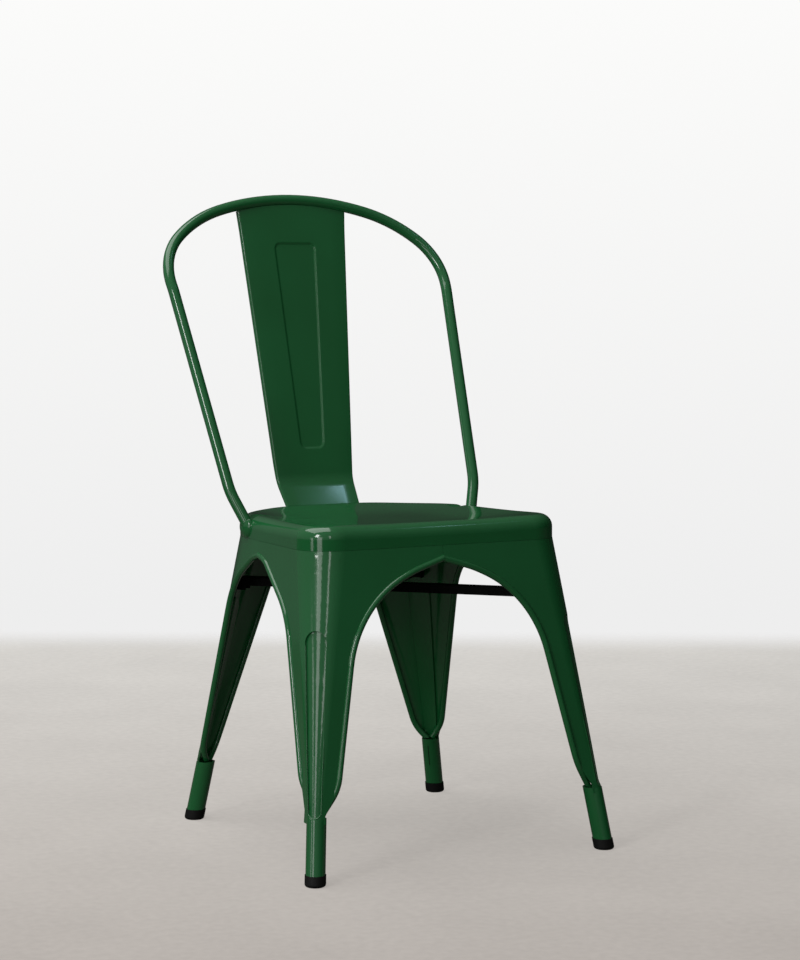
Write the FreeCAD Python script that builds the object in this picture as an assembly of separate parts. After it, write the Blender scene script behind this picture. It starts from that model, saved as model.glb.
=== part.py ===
import math
import os

import FreeCAD, Part

# Pressed steel bistro chair, in millimetres.
# X runs across the chair, the front faces -Y, Z is up and the floor is z = 0.
# Positions along Y are first measured with the seat's front face at FRONT_FACE_Y.
# The finished pieces are then shifted so that the chair is centred on the origin.

# Overall height and sheet
TOTAL_HEIGHT = 850.0
SHEET = 1.5
FIT_GAP = 0.15
SEAM_GAP = 0.3

# Seat pan, measured at the lower edge of its skirt
FRONT_FACE_Y = -173.5
SEAT_DEPTH = 340.0
SEAT_FRONT_HALF_WIDTH = 187.5
SEAT_REAR_HALF_WIDTH = 160.0
SEAT_FRONT_CORNER = 45.0
SEAT_REAR_CORNER = 131.0
SKIRT_FRONT_Z = 401.0
SKIRT_HEIGHT = 30.5
SEAT_TILT = 0.018
RIM_RADIUS = 16.5
DISH_DEPTH = 11.0
DISH_STEPS = 12

# Legs
FOOT_RADIUS = 12.3
FRONT_FOOT_X = 210.0
FRONT_FOOT_Y = -233.0
REAR_FOOT_X = 189.0
REAR_FOOT_Y = 175.0
FRONT_FOOT_LEAN = (0.12, 0.195)
REAR_FOOT_LEAN = (0.17, 0.12)
TUBE_TOP_Z = 74.0
TUBE_LIP = 0.5
TUBE_BOTTOM_Z = 4.0
SIDE_SEAM_Y = 0.0
BEAD_RADIUS = 4.0
UPSTAND = 14.0

# Arch edges: the height on the seam, bends (distance from the seam, height, radius), then the end
FRONT_ARCH = (385.0, [(45.0, 371.0, 150.0), (127.5, 332.0, 150.0), (173.5, 114.0, 60.0)], (194.0, 84.0))
REAR_ARCH = (383.0, [(68.0, 347.0, 90.0), (156.0, 98.0, 50.0)], (171.0, 80.0))
SIDE_ARCH_FRONT = (379.0, [(24.0, 375.0, 50.0), (111.0, 317.0, 110.0), (190.0, 124.0, 60.0)], (208.0, 89.0))
SIDE_ARCH_REAR = (379.0, [(20.0, 374.0, 40.0), (84.0, 337.0, 90.0), (151.0, 101.0, 50.0)], (161.0, 83.0))
BEAD_END_DEPTH = 11.5

# Flute pressed into each leg's corner
FLUTE_DEPTH = 3.0
FLUTE_TOP_HALF_WIDTH = 15.0
FLUTE_BOTTOM_HALF_WIDTH = 9.5
FLUTE_TOP_Z = 304.0
FLUTE_BOTTOM_Z = 81.0
FLUTE_DRAFT = 0.6

# Rubber foot caps
CAP_WALL = 0.9
CAP_HEIGHT = 14.0
CAP_EDGE = 3.5

# Backrest hoop, a bent round tube
HOOP_RADIUS = 7.5
HOOP_BORE = 6.3
HOOP_CROWN_RADIUS = 355.0
HOOP_CROWN_ANGLE = 18.5
HOOP_SHOULDER_RADIUS = 185.0
HOOP_SHOULDER_ANGLE = 44.5
HOOP_CORNER_RADIUS = 93.4
HOOP_CORNER_ANGLE = 94.8
HOOP_TOP_LEAN = 0.605
HOOP_SIDE_LEAN = 0.468
HOOP_SIDE_SPLAY = 0.0975
HOOP_JOIN_Z = 718.0
HOOP_JOIN_Y = 187.0
HOOP_JOIN_RADIUS = 80.0
HOOP_BEND_Z = 456.0
HOOP_BEND_RADIUS = 100.0
HOOP_END_SPLAY = 0.38
HOOP_END_Z = 404.0

# Sunk saddle and blister where the hoop enters the seat
SADDLE_RADIUS = 13.0
SADDLE_DEPTH = 10.0
BLISTER_LENGTH = 15.0
BLISTER_HEIGHT = 15.0
BLISTER_PROUD = 7.0

# Backrest splat
SPLAT_SHEET = 1.5
SPLAT_TOP_Z = 826.0
SPLAT_TOP_Y = 255.5
SPLAT_TOP_HALF_WIDTH = 83.5
SPLAT_KNEE_Z = 484.0
SPLAT_KNEE_Y = 187.0
SPLAT_FOOT_Y = 155.0
SPLAT_FOOT_HALF_WIDTH = 56.5
SPLAT_KNEE_RADIUS = 60.0
FLANGE_DEPTH = 6.5
FLANGE_BEND = 2.5
FLANGE_END_Z = 462.0
PANEL_TOP_Z = 782.0
PANEL_BOTTOM_Z = 500.0
PANEL_TOP_HALF_WIDTH = 32.0
PANEL_BOTTOM_HALF_WIDTH = 18.0
PANEL_CORNER = 10.0
PANEL_DEPTH = 2.0

# Cross-brace under the seat
BRACE_WIDTH = 20.0
BRACE_HEIGHT = 11.0
BRACE_Z = 328.5
BRACE_TAB_DEPTH = 6.0
BRACE_TAB_DROP = 6.0

# Values that follow from the sizes above
REAR_FACE_Y = FRONT_FACE_Y + SEAT_DEPTH
SIDE_ANGLE = math.atan((SEAT_FRONT_HALF_WIDTH - SEAT_REAR_HALF_WIDTH) / SEAT_DEPTH)
HOOP_TOP_Z = TOTAL_HEIGHT - HOOP_RADIUS
CAP_RADIUS = FOOT_RADIUS + CAP_WALL


def vec(x, y, z):
    return FreeCAD.Vector(x, y, z)


def blend(start, end, share):
    return start + (end - start) * share


def line(start, end):
    return Part.makeLine(start, end)


def arc(start, middle, end):
    return Part.Arc(start, middle, end).toShape()


def polygon(points):
    return Part.makePolygon(points + [points[0]])


def loft(wires, ruled=True):
    return Part.makeLoft(wires, True, ruled)


def rod(edges, radius):
    """Round bar along straight and circular edges that follow one another."""
    result = None
    for edge in edges:
        start = edge.valueAt(edge.FirstParameter)
        heading = edge.tangentAt(edge.FirstParameter)
        if isinstance(edge.Curve, Part.Line):
            piece = Part.makeCylinder(radius, edge.Length, start, heading)
        else:
            turned = edge.tangentAt(edge.LastParameter)
            disc = Part.Face(Part.Wire(Part.makeCircle(radius, start, heading)))
            angle = math.degrees(edge.Length / edge.Curve.Radius)
            piece = disc.revolve(edge.Curve.Center, heading.cross(turned), angle)
        result = piece if result is None else result.fuse(piece)
    return result


def skirt_z(y):
    return SKIRT_FRONT_Z - SEAT_TILT * (y - FRONT_FACE_Y)


def seat_half_width(y):
    return SEAT_FRONT_HALF_WIDTH - math.tan(SIDE_ANGLE) * (y - FRONT_FACE_Y)


# The chair's depth runs from the front caps to the back of the hoop's crown
FRONT_LIMIT = FRONT_FOOT_Y - CAP_RADIUS
HOOP_TOP_Y = HOOP_JOIN_Y + HOOP_TOP_LEAN * (HOOP_TOP_Z - HOOP_JOIN_Z)
REAR_LIMIT = HOOP_TOP_Y + HOOP_RADIUS
CENTRE_Y = (FRONT_LIMIT + REAR_LIMIT) / 2


def side_normal(end):
    """Outward direction of the right side face; end is -1 at the front and 1 at the rear."""
    return math.cos(SIDE_ANGLE), end * math.sin(SIDE_ANGLE)


def seat_corner(end):
    """Centre (x, distance towards the end) and radius of a seat corner."""
    radius = SEAT_FRONT_CORNER if end < 0 else SEAT_REAR_CORNER
    face = -FRONT_FACE_Y if end < 0 else REAR_FACE_Y
    along = face - radius
    x = seat_half_width(end * along) - radius / math.cos(SIDE_ANGLE)
    return x, along, radius


def foot_centre(end, z):
    """Centre (x, distance towards the end) of the leaning foot tube at a height."""
    if end < 0:
        foot_x, foot_along, lean = FRONT_FOOT_X, -FRONT_FOOT_Y, FRONT_FOOT_LEAN
    else:
        foot_x, foot_along, lean = REAR_FOOT_X, REAR_FOOT_Y, REAR_FOOT_LEAN
    return foot_x - lean[0] * z, foot_along - lean[1] * z


def foot_corner(end):
    """Centre and radius of the foot tube at TUBE_TOP_Z, where the walls run into it."""
    x, along = foot_centre(end, TUBE_TOP_Z)
    return x, along, FOOT_RADIUS - TUBE_LIP


def face_z(end):
    """Height of the skirt's lower edge at the front or rear face."""
    return skirt_z(FRONT_FACE_Y if end < 0 else REAR_FACE_Y)


def section_points(end, share, inset, over):
    """Corner points of a leg's level section; share is 0 at the tube and 1 at the skirt."""
    normal_x, normal_along = side_normal(end)
    middle = math.hypot(normal_x, normal_along + 1)
    seam_along = end * SIDE_SEAM_Y - over
    levels = []
    for z, corner in ((TUBE_TOP_Z, foot_corner(end)), (face_z(end), seat_corner(end))):
        x, along, full_radius = corner
        radius = full_radius - inset
        top = (x, along + radius)
        mid = (x + radius * normal_x / middle, along + radius * (normal_along + 1) / middle)
        side = (x + radius * normal_x, along + radius * normal_along)
        reach = (side[1] - seam_along) / normal_x
        side_end = (side[0] + reach * normal_along, seam_along)
        plan = [(-over, seam_along), (-over, top[1]), top, mid, side, side_end]
        levels.append([vec(px, end * pa, z) for px, pa in plan])
    return [blend(low, high, share) for low, high in zip(*levels)]


def section_edges(end, share, inset, over):
    inner, first, top, mid, side, last = section_points(end, share, inset, over)
    edges = [line(inner, first), line(first, top), arc(top, mid, side)]
    return edges + [line(side, last), line(last, inner)]


def leg_form(end, inset, over, low, high):
    """Solid within a leg's walls, moved in by inset and past the seams by over."""
    below = section_edges(end, low, inset, over)
    above = section_edges(end, high, inset, over)
    faces = [Part.makeRuledSurface(first, second) for first, second in zip(below, above)]
    faces += [Part.Face(Part.Wire(below)), Part.Face(Part.Wire(above))]
    shell = Part.makeShell(faces)
    shell.sewShape()
    form = Part.makeSolid(shell)
    return form if form.Volume > 0 else form.reversed()


def rounded_path(points, radii):
    """Straight runs joined by tangent arcs, as lists of two or three flat points."""
    pieces = []
    start = points[0]
    for before, bend, after, radius in zip(points, points[1:], points[2:], radii):
        back = (before - bend).normalize()
        ahead = (after - bend).normalize()
        half = back.getAngle(ahead) / 2
        reach = radius / math.tan(half)
        centre = bend + (back + ahead).normalize() * (radius / math.sin(half))
        middle = centre + (bend - centre).normalize() * radius
        pieces.append([start, bend + back * reach])
        pieces.append([bend + back * reach, middle, bend + ahead * reach])
        start = bend + ahead * reach
    pieces.append([start, points[-1]])
    return pieces


class Wall:
    """One flat wall of a leg: distance runs from the seam to the corner, height is up."""

    def __init__(self, end, is_side):
        low = section_points(end, 0.0, 0.0, 0.0)
        high = section_points(end, 1.0, 0.0, 0.0)
        if is_side:
            seam, corner, foot = high[5], high[4], low[4]
        else:
            seam, corner, foot = high[1], high[2], low[2]
        self.origin = seam
        along = corner - seam
        self.along = vec(along.x, along.y, 0).normalize()
        rise = corner - foot
        self.up = (rise - self.along * rise.dot(self.along)).normalize()
        out = self.along.cross(self.up)
        self.out = out if out.dot(foot) > 0 else out * -1

    def point(self, distance, height, proud):
        slope = (height - self.origin.z) / self.up.z
        return self.origin + self.along * distance + self.up * slope + self.out * proud

    def edges(self, arch, overrun, proud, end_proud):
        """Edges of an arch, begun past the seam by overrun."""
        top, bends, end = arch
        slope = (top - bends[0][1]) / bends[0][0]
        flat = [self.point(-overrun, top + slope * overrun, proud)]
        flat += [self.point(distance, height, proud) for distance, height, _ in bends]
        flat.append(self.point(end[0], end[1], end_proud))
        result = []
        for piece in rounded_path(flat, [radius for _, _, radius in bends]):
            result.append(line(*piece) if len(piece) == 2 else arc(*piece))
        return result

    def opening(self, arch):
        """Solid that clears the space under the arch."""
        outside = 25.0
        overrun = 8.0
        edges = self.edges(arch, overrun, outside, outside)
        first = edges[0].Vertexes[0].Point
        last = edges[-1].Vertexes[-1].Point
        end_distance, end_height = arch[2]
        low_last = self.point(end_distance, end_height - 30, outside)
        low_first = self.point(-overrun, end_height - 30, outside)
        edges += [line(last, low_last), line(low_last, low_first), line(low_first, first)]
        face = Part.Face(Part.Wire(Part.__sortEdges__(edges)))
        return face.extrude(self.out * (-2 * outside))

    def bead(self, arch):
        """Rolled edge along the arch, that ends inside the foot tube."""
        return rod(self.edges(arch, 2.0, -BEAD_RADIUS / 4, -BEAD_END_DEPTH), BEAD_RADIUS)


def flute_wire(end, grow, proud):
    """Outline of the corner flute, moved out along the corner's diagonal."""
    low = section_points(end, 0.0, 0.0, 0.0)[3]
    high = section_points(end, 1.0, 0.0, 0.0)[3]
    normal_x, normal_along = side_normal(end)
    out = vec(normal_x, end * (normal_along + 1), 0).normalize()
    up = (high - low).normalize()
    across = out.cross(up).normalize()
    top_r = FLUTE_TOP_HALF_WIDTH + grow
    bottom_r = FLUTE_BOTTOM_HALF_WIDTH + grow
    top = low + up * ((FLUTE_TOP_Z - FLUTE_TOP_HALF_WIDTH - low.z) / up.z) + out * proud
    bottom = low + up * ((FLUTE_BOTTOM_Z + FLUTE_BOTTOM_HALF_WIDTH - low.z) / up.z) + out * proud
    lean = math.asin((top_r - bottom_r) / (top - bottom).Length)
    side = across * math.cos(lean) - up * math.sin(lean)
    other = across * -math.cos(lean) - up * math.sin(lean)
    edges = [line(bottom + side * bottom_r, top + side * top_r)]
    edges.append(arc(top + side * top_r, top + up * top_r, top + other * top_r))
    edges.append(line(top + other * top_r, bottom + other * bottom_r))
    edges.append(arc(bottom + other * bottom_r, bottom - up * bottom_r, bottom + side * bottom_r))
    return Part.Wire(edges)


def flute_tool(end, extra):
    reach = 14.0
    wide = flute_wire(end, extra + FLUTE_DRAFT * (reach - 2.0), reach)
    narrow = flute_wire(end, extra - FLUTE_DRAFT * 6.0, -10.0)
    return loft([narrow, wide])


def foot_bar(end, low, high, radius):
    """Leaning round bar between two heights, level at both ends."""
    points = []
    for z in (low - 20, high + 20):
        x, along = foot_centre(end, z)
        points.append(vec(x, end * along, z))
    run = points[1] - points[0]
    bar = Part.makeCylinder(radius, run.Length, points[0], run)
    return bar.common(Part.makeBox(800, 800, high - low, vec(-400, -400, low)))


def make_leg(end, hoop_space):
    """Right-hand leg with its halves of the two aprons, pressed from one sheet."""
    outer = leg_form(end, 0.0, 0.0, 0.0, 1.04)
    deep = leg_form(end, FLUTE_DEPTH, 1.0, -0.02, 1.06)
    outer = outer.cut(flute_tool(end, 0.0).cut(deep))
    inner = leg_form(end, SHEET, 1.0, -0.02, 1.06)
    inner_deep = leg_form(end, SHEET + FLUTE_DEPTH, 2.0, -0.04, 1.08)
    inner = inner.cut(flute_tool(end, SHEET).cut(inner_deep))
    above = raised(Part.Wire(box_edges(300, 400)), -SEAM_GAP, 60)
    near = SIDE_SEAM_Y + end * SEAM_GAP / 2
    low = near if end > 0 else near - 400
    quarter = Part.makeBox(400, 400, 600, vec(SEAM_GAP / 2, low, 0))
    leg = outer.cut(inner).cut(in_seat_frame(above)).common(quarter)
    end_wall = Wall(end, False)
    side_wall = Wall(end, True)
    end_arch = FRONT_ARCH if end < 0 else REAR_ARCH
    side_arch = SIDE_ARCH_FRONT if end < 0 else SIDE_ARCH_REAR
    leg = leg.cut(end_wall.opening(end_arch)).cut(side_wall.opening(side_arch))
    tube = foot_bar(end, TUBE_BOTTOM_Z, TUBE_TOP_Z + 6.0, FOOT_RADIUS)
    bore = foot_bar(end, TUBE_BOTTOM_Z - 1.0, TUBE_TOP_Z + 7.0, FOOT_RADIUS - SHEET)
    for piece in (tube, end_wall.bead(end_arch), side_wall.bead(side_arch)):
        leg = leg.fuse(piece.common(quarter))
    return leg.cut(bore).fuse(make_upstand().common(quarter)).cut(hoop_space)


def box_edges(half_width, half_depth):
    corners = [(-1, -1), (1, -1), (1, 1), (-1, 1)]
    points = [vec(x * half_width, y * half_depth, 0) for x, y in corners]
    return polygon(points).Edges


def make_upstand():
    """Stepped-in flange along the legs' upper edge, inside the seat's skirt."""
    step = SHEET + FIT_GAP
    low = -SEAM_GAP - SHEET / 2 - SHEET
    ledge = raised(seat_outline(SHEET / 2), low, SHEET)
    ledge = ledge.cut(raised(seat_outline(step + SHEET), low - 2, SHEET + 4))
    band = raised(seat_outline(step), low, UPSTAND)
    band = band.cut(raised(seat_outline(step + SHEET), low - 2, UPSTAND + 4))
    return in_seat_frame(ledge.fuse(band))


def raised(wire, start, height):
    face = Part.Face(wire)
    face.translate(vec(0, 0, start))
    return face.extrude(vec(0, 0, height))


def seat_outline(inset):
    """Plan outline of the seat: straight front, tapering sides, rounded rear."""
    right = []
    for end in (-1, 1):
        x, along, full_radius = seat_corner(end)
        normal_x, normal_along = side_normal(end)
        middle = math.hypot(normal_x, normal_along + 1)
        radius = full_radius - inset
        face = vec(x, end * (along + radius), 0)
        mid = vec(x + radius * normal_x / middle, end * (along + radius * (normal_along + 1) / middle), 0)
        side = vec(x + radius * normal_x, end * (along + radius * normal_along), 0)
        right.append((face, mid, side))
    (f_face, f_mid, f_side), (r_face, r_mid, r_side) = right
    flip = lambda point: vec(-point.x, point.y, point.z)
    edges = [line(flip(f_face), f_face), arc(f_face, f_mid, f_side), line(f_side, r_side)]
    edges += [arc(r_side, r_mid, r_face), line(r_face, flip(r_face))]
    edges += [arc(flip(r_face), flip(r_mid), flip(r_side)), line(flip(r_side), flip(f_side))]
    edges.append(arc(flip(f_side), flip(f_mid), flip(f_face)))
    return Part.Wire(edges)


def dish_height(x, y, lift):
    """Height of the seat's dished top above the skirt's lower edge."""
    across = abs(x) / seat_half_width(y)
    lengthways = abs(2 * (y - FRONT_FACE_Y) / SEAT_DEPTH - 1)
    spread = min((across ** 4 + lengthways ** 4) ** 0.25, 1.0)
    return SKIRT_HEIGHT - lift - DISH_DEPTH * (1 - spread ** 4) ** 2


def dish_tool(lift):
    """Solid above the dished top, used to hollow the seat's upper side."""
    margin = 20.0
    rows = []
    for i in range(2 * DISH_STEPS + 1):
        y = FRONT_FACE_Y - margin + (SEAT_DEPTH + 2 * margin) * i / (2 * DISH_STEPS)
        row = []
        for j in range(2 * DISH_STEPS + 1):
            x = (SEAT_FRONT_HALF_WIDTH + margin) * (j / DISH_STEPS - 1)
            row.append(vec(x, y, dish_height(x, y, lift)))
        rows.append(row)
    surface = Part.BSplineSurface()
    surface.interpolate(rows)
    return surface.toShape().extrude(vec(0, 0, 40))


def seat_form(inset):
    block = Part.Face(seat_outline(inset)).extrude(vec(0, 0, SKIRT_HEIGHT + 5))
    block = block.cut(dish_tool(inset))
    rim = []
    for edge in block.Edges:
        if edge.BoundBox.ZMin > SKIRT_HEIGHT - inset - 3 and edge.BoundBox.ZMax < SKIRT_HEIGHT + 4:
            rim.append(edge)
    return block.makeFillet(RIM_RADIUS - inset, rim)


def in_seat_frame(shape):
    """Tilts a piece drawn on the skirt's lower edge to the seat's backward slope."""
    placed = shape.copy()
    placed.translate(vec(0, 0, SKIRT_FRONT_Z))
    angle = -math.degrees(math.atan(SEAT_TILT))
    placed.rotate(vec(0, FRONT_FACE_Y, SKIRT_FRONT_Z), vec(1, 0, 0), angle)
    return placed


def hoop_edges():
    """Centre line of the right half of the hoop, from the crown down to its end."""
    down = vec(0, -HOOP_TOP_LEAN, -1).normalize()
    centre = vec(0, HOOP_TOP_Y, HOOP_TOP_Z) + down * HOOP_CROWN_RADIUS
    bends = [(HOOP_CROWN_RADIUS, 0.0, HOOP_CROWN_ANGLE)]
    bends.append((HOOP_SHOULDER_RADIUS, HOOP_CROWN_ANGLE, HOOP_SHOULDER_ANGLE))
    bends.append((HOOP_CORNER_RADIUS, HOOP_SHOULDER_ANGLE, HOOP_CORNER_ANGLE))
    edges = []
    for radius, first, last in bends:
        if edges:
            centre = finish - spoke * radius
        points = []
        for angle in (first, (first + last) / 2, last):
            turn = math.radians(angle)
            spoke = vec(math.sin(turn), 0, 0) - down * math.cos(turn)
            points.append(centre + spoke * radius)
        finish = points[2]
        edges.append(arc(*points))
    heading = spoke.cross(vec(0, -down.z, down.y)).normalize()
    heading = heading if heading.z < 0 else heading * -1
    join = finish + heading * ((finish.z - HOOP_JOIN_Z) / -heading.z)
    drop = HOOP_JOIN_Z - HOOP_BEND_Z
    bend = join - vec(HOOP_SIDE_SPLAY, HOOP_SIDE_LEAN, 1) * drop
    end = bend - vec(HOOP_END_SPLAY, HOOP_SIDE_LEAN, 1) * (HOOP_BEND_Z - HOOP_END_Z)
    for piece in rounded_path([finish, join, bend, end], [HOOP_JOIN_RADIUS, HOOP_BEND_RADIUS]):
        edges.append(line(*piece) if len(piece) == 2 else arc(*piece))
    return edges


def make_hoop(radius):
    right = rod(hoop_edges(), radius)
    return right.fuse(mirrored(right))


def hoop_entry():
    """Point where the right tube's centre line reaches the floor of its saddle."""
    last = hoop_edges()[-1]
    top, low = last.Vertexes[0].Point, last.Vertexes[1].Point
    floor = skirt_z(low.y) + SKIRT_HEIGHT - SADDLE_DEPTH
    return blend(top, low, (top.z - floor) / (top.z - low.z))


def make_seat(hoop_space):
    entry = hoop_entry()
    outer = in_seat_frame(seat_form(0.0))
    inner = in_seat_frame(seat_form(SHEET).fuse(raised(seat_outline(SHEET), -2, 3)))
    for side in (-1, 1):
        for grow in (0.0, SHEET):
            radius = SADDLE_RADIUS + grow
            axis_z = skirt_z(entry.y) + SKIRT_HEIGHT - SADDLE_DEPTH + SADDLE_RADIUS
            start = vec(side * (abs(entry.x) - 32), entry.y, axis_z)
            slot = Part.makeCylinder(radius, 70, start, vec(side, 0, 0))
            ball = Part.makeSphere(BLISTER_LENGTH - grow)
            scale = FreeCAD.Matrix()
            scale.scale(vec((BLISTER_PROUD - grow) / (BLISTER_LENGTH - grow), 1,
                            (BLISTER_HEIGHT - grow) / (BLISTER_LENGTH - grow)))
            blister = ball.transformGeometry(scale)
            blister.translate(vec(side * seat_half_width(entry.y), entry.y, axis_z - SADDLE_RADIUS - 6))
            floor = Part.makeBox(100, 100, 60, vec(-50, entry.y - 50, skirt_z(entry.y) - 58.5))
            floor.translate(vec(side * entry.x, 0, 0))
            if grow == 0.0:
                outer = outer.fuse(blister.cut(floor)).cut(slot)
            else:
                inner = inner.fuse(blister).cut(slot)
    return outer.cut(inner).cut(hoop_space)


def splat_profile(set_back):
    """Side profile of everything behind the splat's front face."""
    top_lean = (SPLAT_TOP_Y - SPLAT_KNEE_Y) / (SPLAT_TOP_Z - SPLAT_KNEE_Z)
    rise = 40.0
    foot_z = skirt_z(SPLAT_FOOT_Y) + SKIRT_HEIGHT
    foot_lean = (SPLAT_KNEE_Y - SPLAT_FOOT_Y) / (SPLAT_KNEE_Z - foot_z)
    top = vec(0, SPLAT_TOP_Y + top_lean * rise, SPLAT_TOP_Z + rise)
    knee = vec(0, SPLAT_KNEE_Y, SPLAT_KNEE_Z)
    foot = vec(0, SPLAT_FOOT_Y - foot_lean * rise, foot_z - rise)
    upper = (top - knee).normalize()
    lower = (foot - knee).normalize()
    upper_back = vec(0, upper.z, -upper.y) * set_back
    lower_back = vec(0, -lower.z, lower.y) * set_back
    half = upper.getAngle(lower) / 2
    toward = (upper_back.normalize() + lower_back.normalize()).normalize() if set_back else vec(0, 0, 0)
    corner = knee + toward * (set_back / math.sin(half))
    shift_up = vec(0, upper.z, -upper.y) * set_back
    shift_low = vec(0, -lower.z, lower.y) * set_back
    return [top + shift_up, corner, foot + shift_low]


def splat_body(set_back, half_width):
    points = splat_profile(set_back)
    edges = []
    for piece in rounded_path(points, [SPLAT_KNEE_RADIUS + set_back]):
        edges.append(line(*piece) if len(piece) == 2 else arc(*piece))
    back = 60.0
    top_back = points[0] + vec(0, back, 0)
    low_back = points[2] + vec(0, back + 60, 0)
    edges += [line(points[2], low_back), line(low_back, top_back), line(top_back, points[0])]
    face = Part.Face(Part.Wire(Part.__sortEdges__(edges)))
    face.translate(vec(-half_width, 0, 0))
    return face.extrude(vec(2 * half_width, 0, 0))


def front_prism(points):
    face = Part.Face(polygon([vec(x, 100, z) for x, z in points]))
    return face.extrude(vec(0, 250, 0))


def splat_trapezium(inset, low_z, high_z):
    """Sloping sides of the splat seen from the front."""
    foot_z = skirt_z(SPLAT_FOOT_Y) + SKIRT_HEIGHT
    slope = (SPLAT_TOP_HALF_WIDTH - SPLAT_FOOT_HALF_WIDTH) / (SPLAT_TOP_Z - foot_z)
    low = SPLAT_FOOT_HALF_WIDTH + slope * (low_z - foot_z) - inset
    high = SPLAT_FOOT_HALF_WIDTH + slope * (high_z - foot_z) - inset
    return front_prism([(-low, low_z), (low, low_z), (high, high_z), (-high, high_z)])


def panel_tool(grow):
    points = [(-PANEL_BOTTOM_HALF_WIDTH - grow, PANEL_BOTTOM_Z - grow)]
    points.append((PANEL_BOTTOM_HALF_WIDTH + grow, PANEL_BOTTOM_Z - grow))
    points.append((PANEL_TOP_HALF_WIDTH + grow, PANEL_TOP_Z + grow))
    points.append((-PANEL_TOP_HALF_WIDTH - grow, PANEL_TOP_Z + grow))
    prism = front_prism(points)
    long_edges = []
    for edge in prism.Edges:
        if abs(edge.BoundBox.YLength - 250) < 1e-3:
            long_edges.append(edge)
    return prism.makeFillet(PANEL_CORNER + grow, long_edges)


def make_splat(hoop_space):
    """Pressed back panel: turned-back side flanges and a sunk centre panel."""
    wide = SPLAT_TOP_HALF_WIDTH + 10
    foot_z = skirt_z(SPLAT_FOOT_Y) + SKIRT_HEIGHT
    top_z = SPLAT_TOP_Z + 30
    front = splat_body(0.0, wide)
    behind = splat_body(SPLAT_SHEET, wide)
    flange_back = splat_body(FLANGE_DEPTH, wide)
    outer = front.common(splat_trapezium(0.0, foot_z - 20, top_z))
    inner_flanged = behind.common(splat_trapezium(SPLAT_SHEET, FLANGE_END_Z, top_z + 5))
    below = Part.makeBox(400, 400, 400, vec(-200, 0, FLANGE_END_Z - 400))
    bend_edges = []
    for edge in outer.Edges:
        box = edge.BoundBox
        if box.XMin * box.XMax > 0 and box.ZLength > 30 and is_on_front(edge, 0.0):
            bend_edges.append(edge)
    outer = outer.makeFillet(FLANGE_BEND, bend_edges)
    panel = panel_tool(0.0).cut(splat_body(PANEL_DEPTH, wide))
    panel_back = panel_tool(SPLAT_SHEET).cut(splat_body(PANEL_DEPTH + SPLAT_SHEET, wide))
    hollow = inner_flanged.fuse(behind.common(below)).cut(panel_back)
    splat = outer.cut(panel).cut(hollow).cut(flange_back)
    seat = in_seat_frame(seat_form(0.0))
    seat.translate(vec(0, 0, FIT_GAP))
    below_seat = Part.makeBox(400, 400, 60, vec(-200, 0, foot_z - 80))
    crown = make_crown_trim()
    return splat.cut(below_seat).cut(seat).cut(hoop_space).common(crown)


def is_on_front(edge, set_back):
    knee = vec(0, SPLAT_KNEE_Y, SPLAT_KNEE_Z)
    top = vec(0, SPLAT_TOP_Y, SPLAT_TOP_Z)
    normal = vec(0, top.z - knee.z, knee.y - top.y).normalize()
    middle = edge.CenterOfMass
    return abs((vec(0, middle.y, middle.z) - knee).dot(normal) - set_back) < 6


def make_crown_trim():
    """Keeps what lies below the hoop's centre line."""
    points = []
    for edge in hoop_edges()[:3]:
        points += [vec(p.x, 100, p.z) for p in edge.discretize(8)][1:]
    outline = [vec(-p.x, 100, p.z) for p in reversed(points)] + [vec(0, 100, HOOP_TOP_Z)] + points
    outline += [vec(points[-1].x, 100, 380), vec(-points[-1].x, 100, 380)]
    return Part.Face(polygon(outline)).extrude(vec(0, 300, 0))


def make_cap(end):
    """Rubber cap with a rounded foot, pushed over the end of the tube."""
    body = foot_bar(end, 0.0, CAP_HEIGHT, CAP_RADIUS)
    bottom = [edge for edge in body.Edges if edge.BoundBox.ZMax < 0.01]
    body = body.makeFillet(CAP_EDGE, bottom)
    return body.cut(foot_bar(end, TUBE_BOTTOM_Z - FIT_GAP / 2, CAP_HEIGHT + 1, FOOT_RADIUS + FIT_GAP / 2))


def brace_corner(end):
    """Inner face of a leg's corner at the brace's height."""
    low = section_points(end, 0.0, SHEET, 0.0)[3]
    high = section_points(end, 1.0, SHEET, 0.0)[3]
    point = blend(low, high, (BRACE_Z - low.z) / (high.z - low.z))
    return vec(point.x, point.y, BRACE_Z)


def brace_space():
    """Room inside the four legs, so that the braces end on their corners."""
    result = None
    for end in (-1, 1):
        right = leg_form(end, SHEET + FLUTE_DEPTH + FIT_GAP, 0.0, 0.0, 1.0)
        left = right.mirror(vec(0, 0, 0), vec(1, 0, 0))
        pair = right.fuse(left)
        result = pair if result is None else result.fuse(pair)
    return result


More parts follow.
